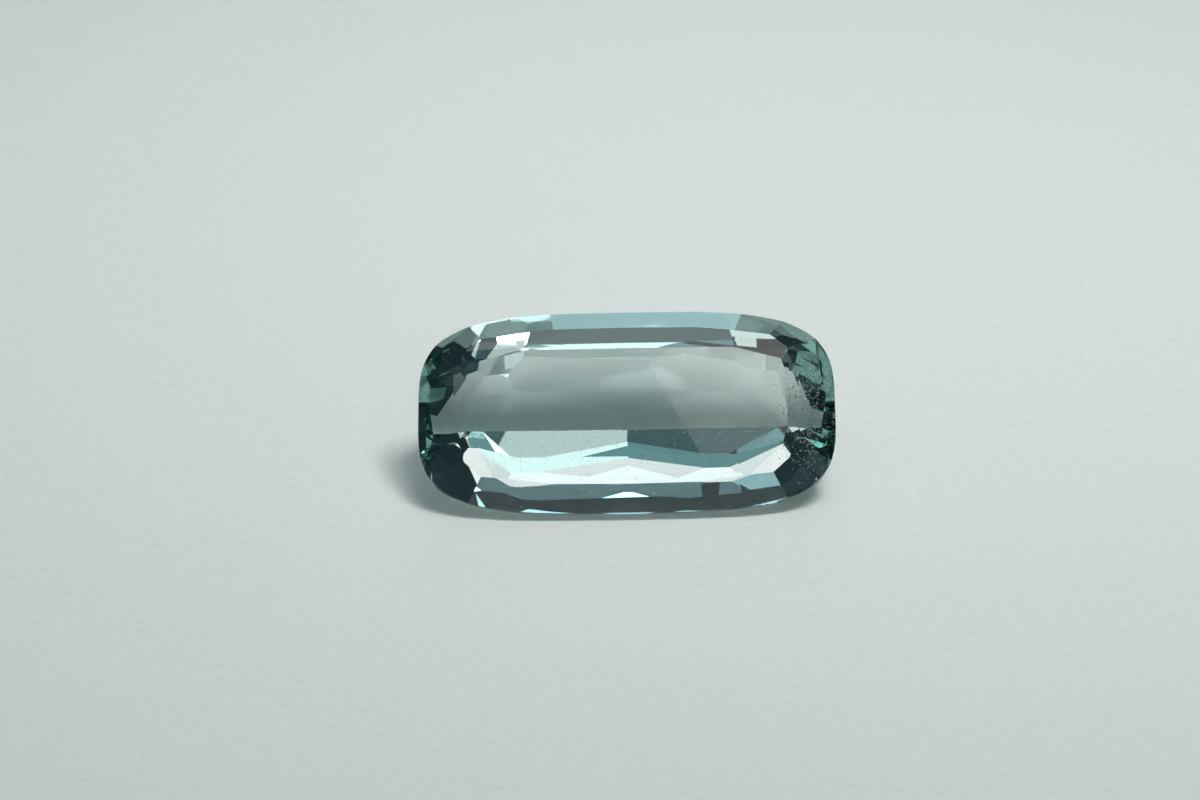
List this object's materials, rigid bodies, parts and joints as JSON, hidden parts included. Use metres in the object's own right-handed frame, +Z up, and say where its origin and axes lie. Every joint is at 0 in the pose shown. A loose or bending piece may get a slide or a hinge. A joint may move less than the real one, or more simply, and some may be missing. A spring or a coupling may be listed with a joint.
{
  "type": "cut tourmaline gemstone",
  "caption": "Loose faceted tourmaline, a long cushion cut in pale blue-green crystal, lying on a pavilion facet with its table leaning forward.",
  "frame": {"origin": "on the surface that the stone rests on, below the middle of its bounding box", "axes": "+X along the stone's length, +Y away from the side that the table faces, +Z up"},
  "size_m": [0.016, 0.0062, 0.0059],
  "materials": {
    "tourmaline": "polished clear crystal, pale blue-green, see-through, with a few fine inclusions"
  },
  "bodies": {
    "root": {"cut_stone": "tourmaline"}
  },
  "joints": []
}
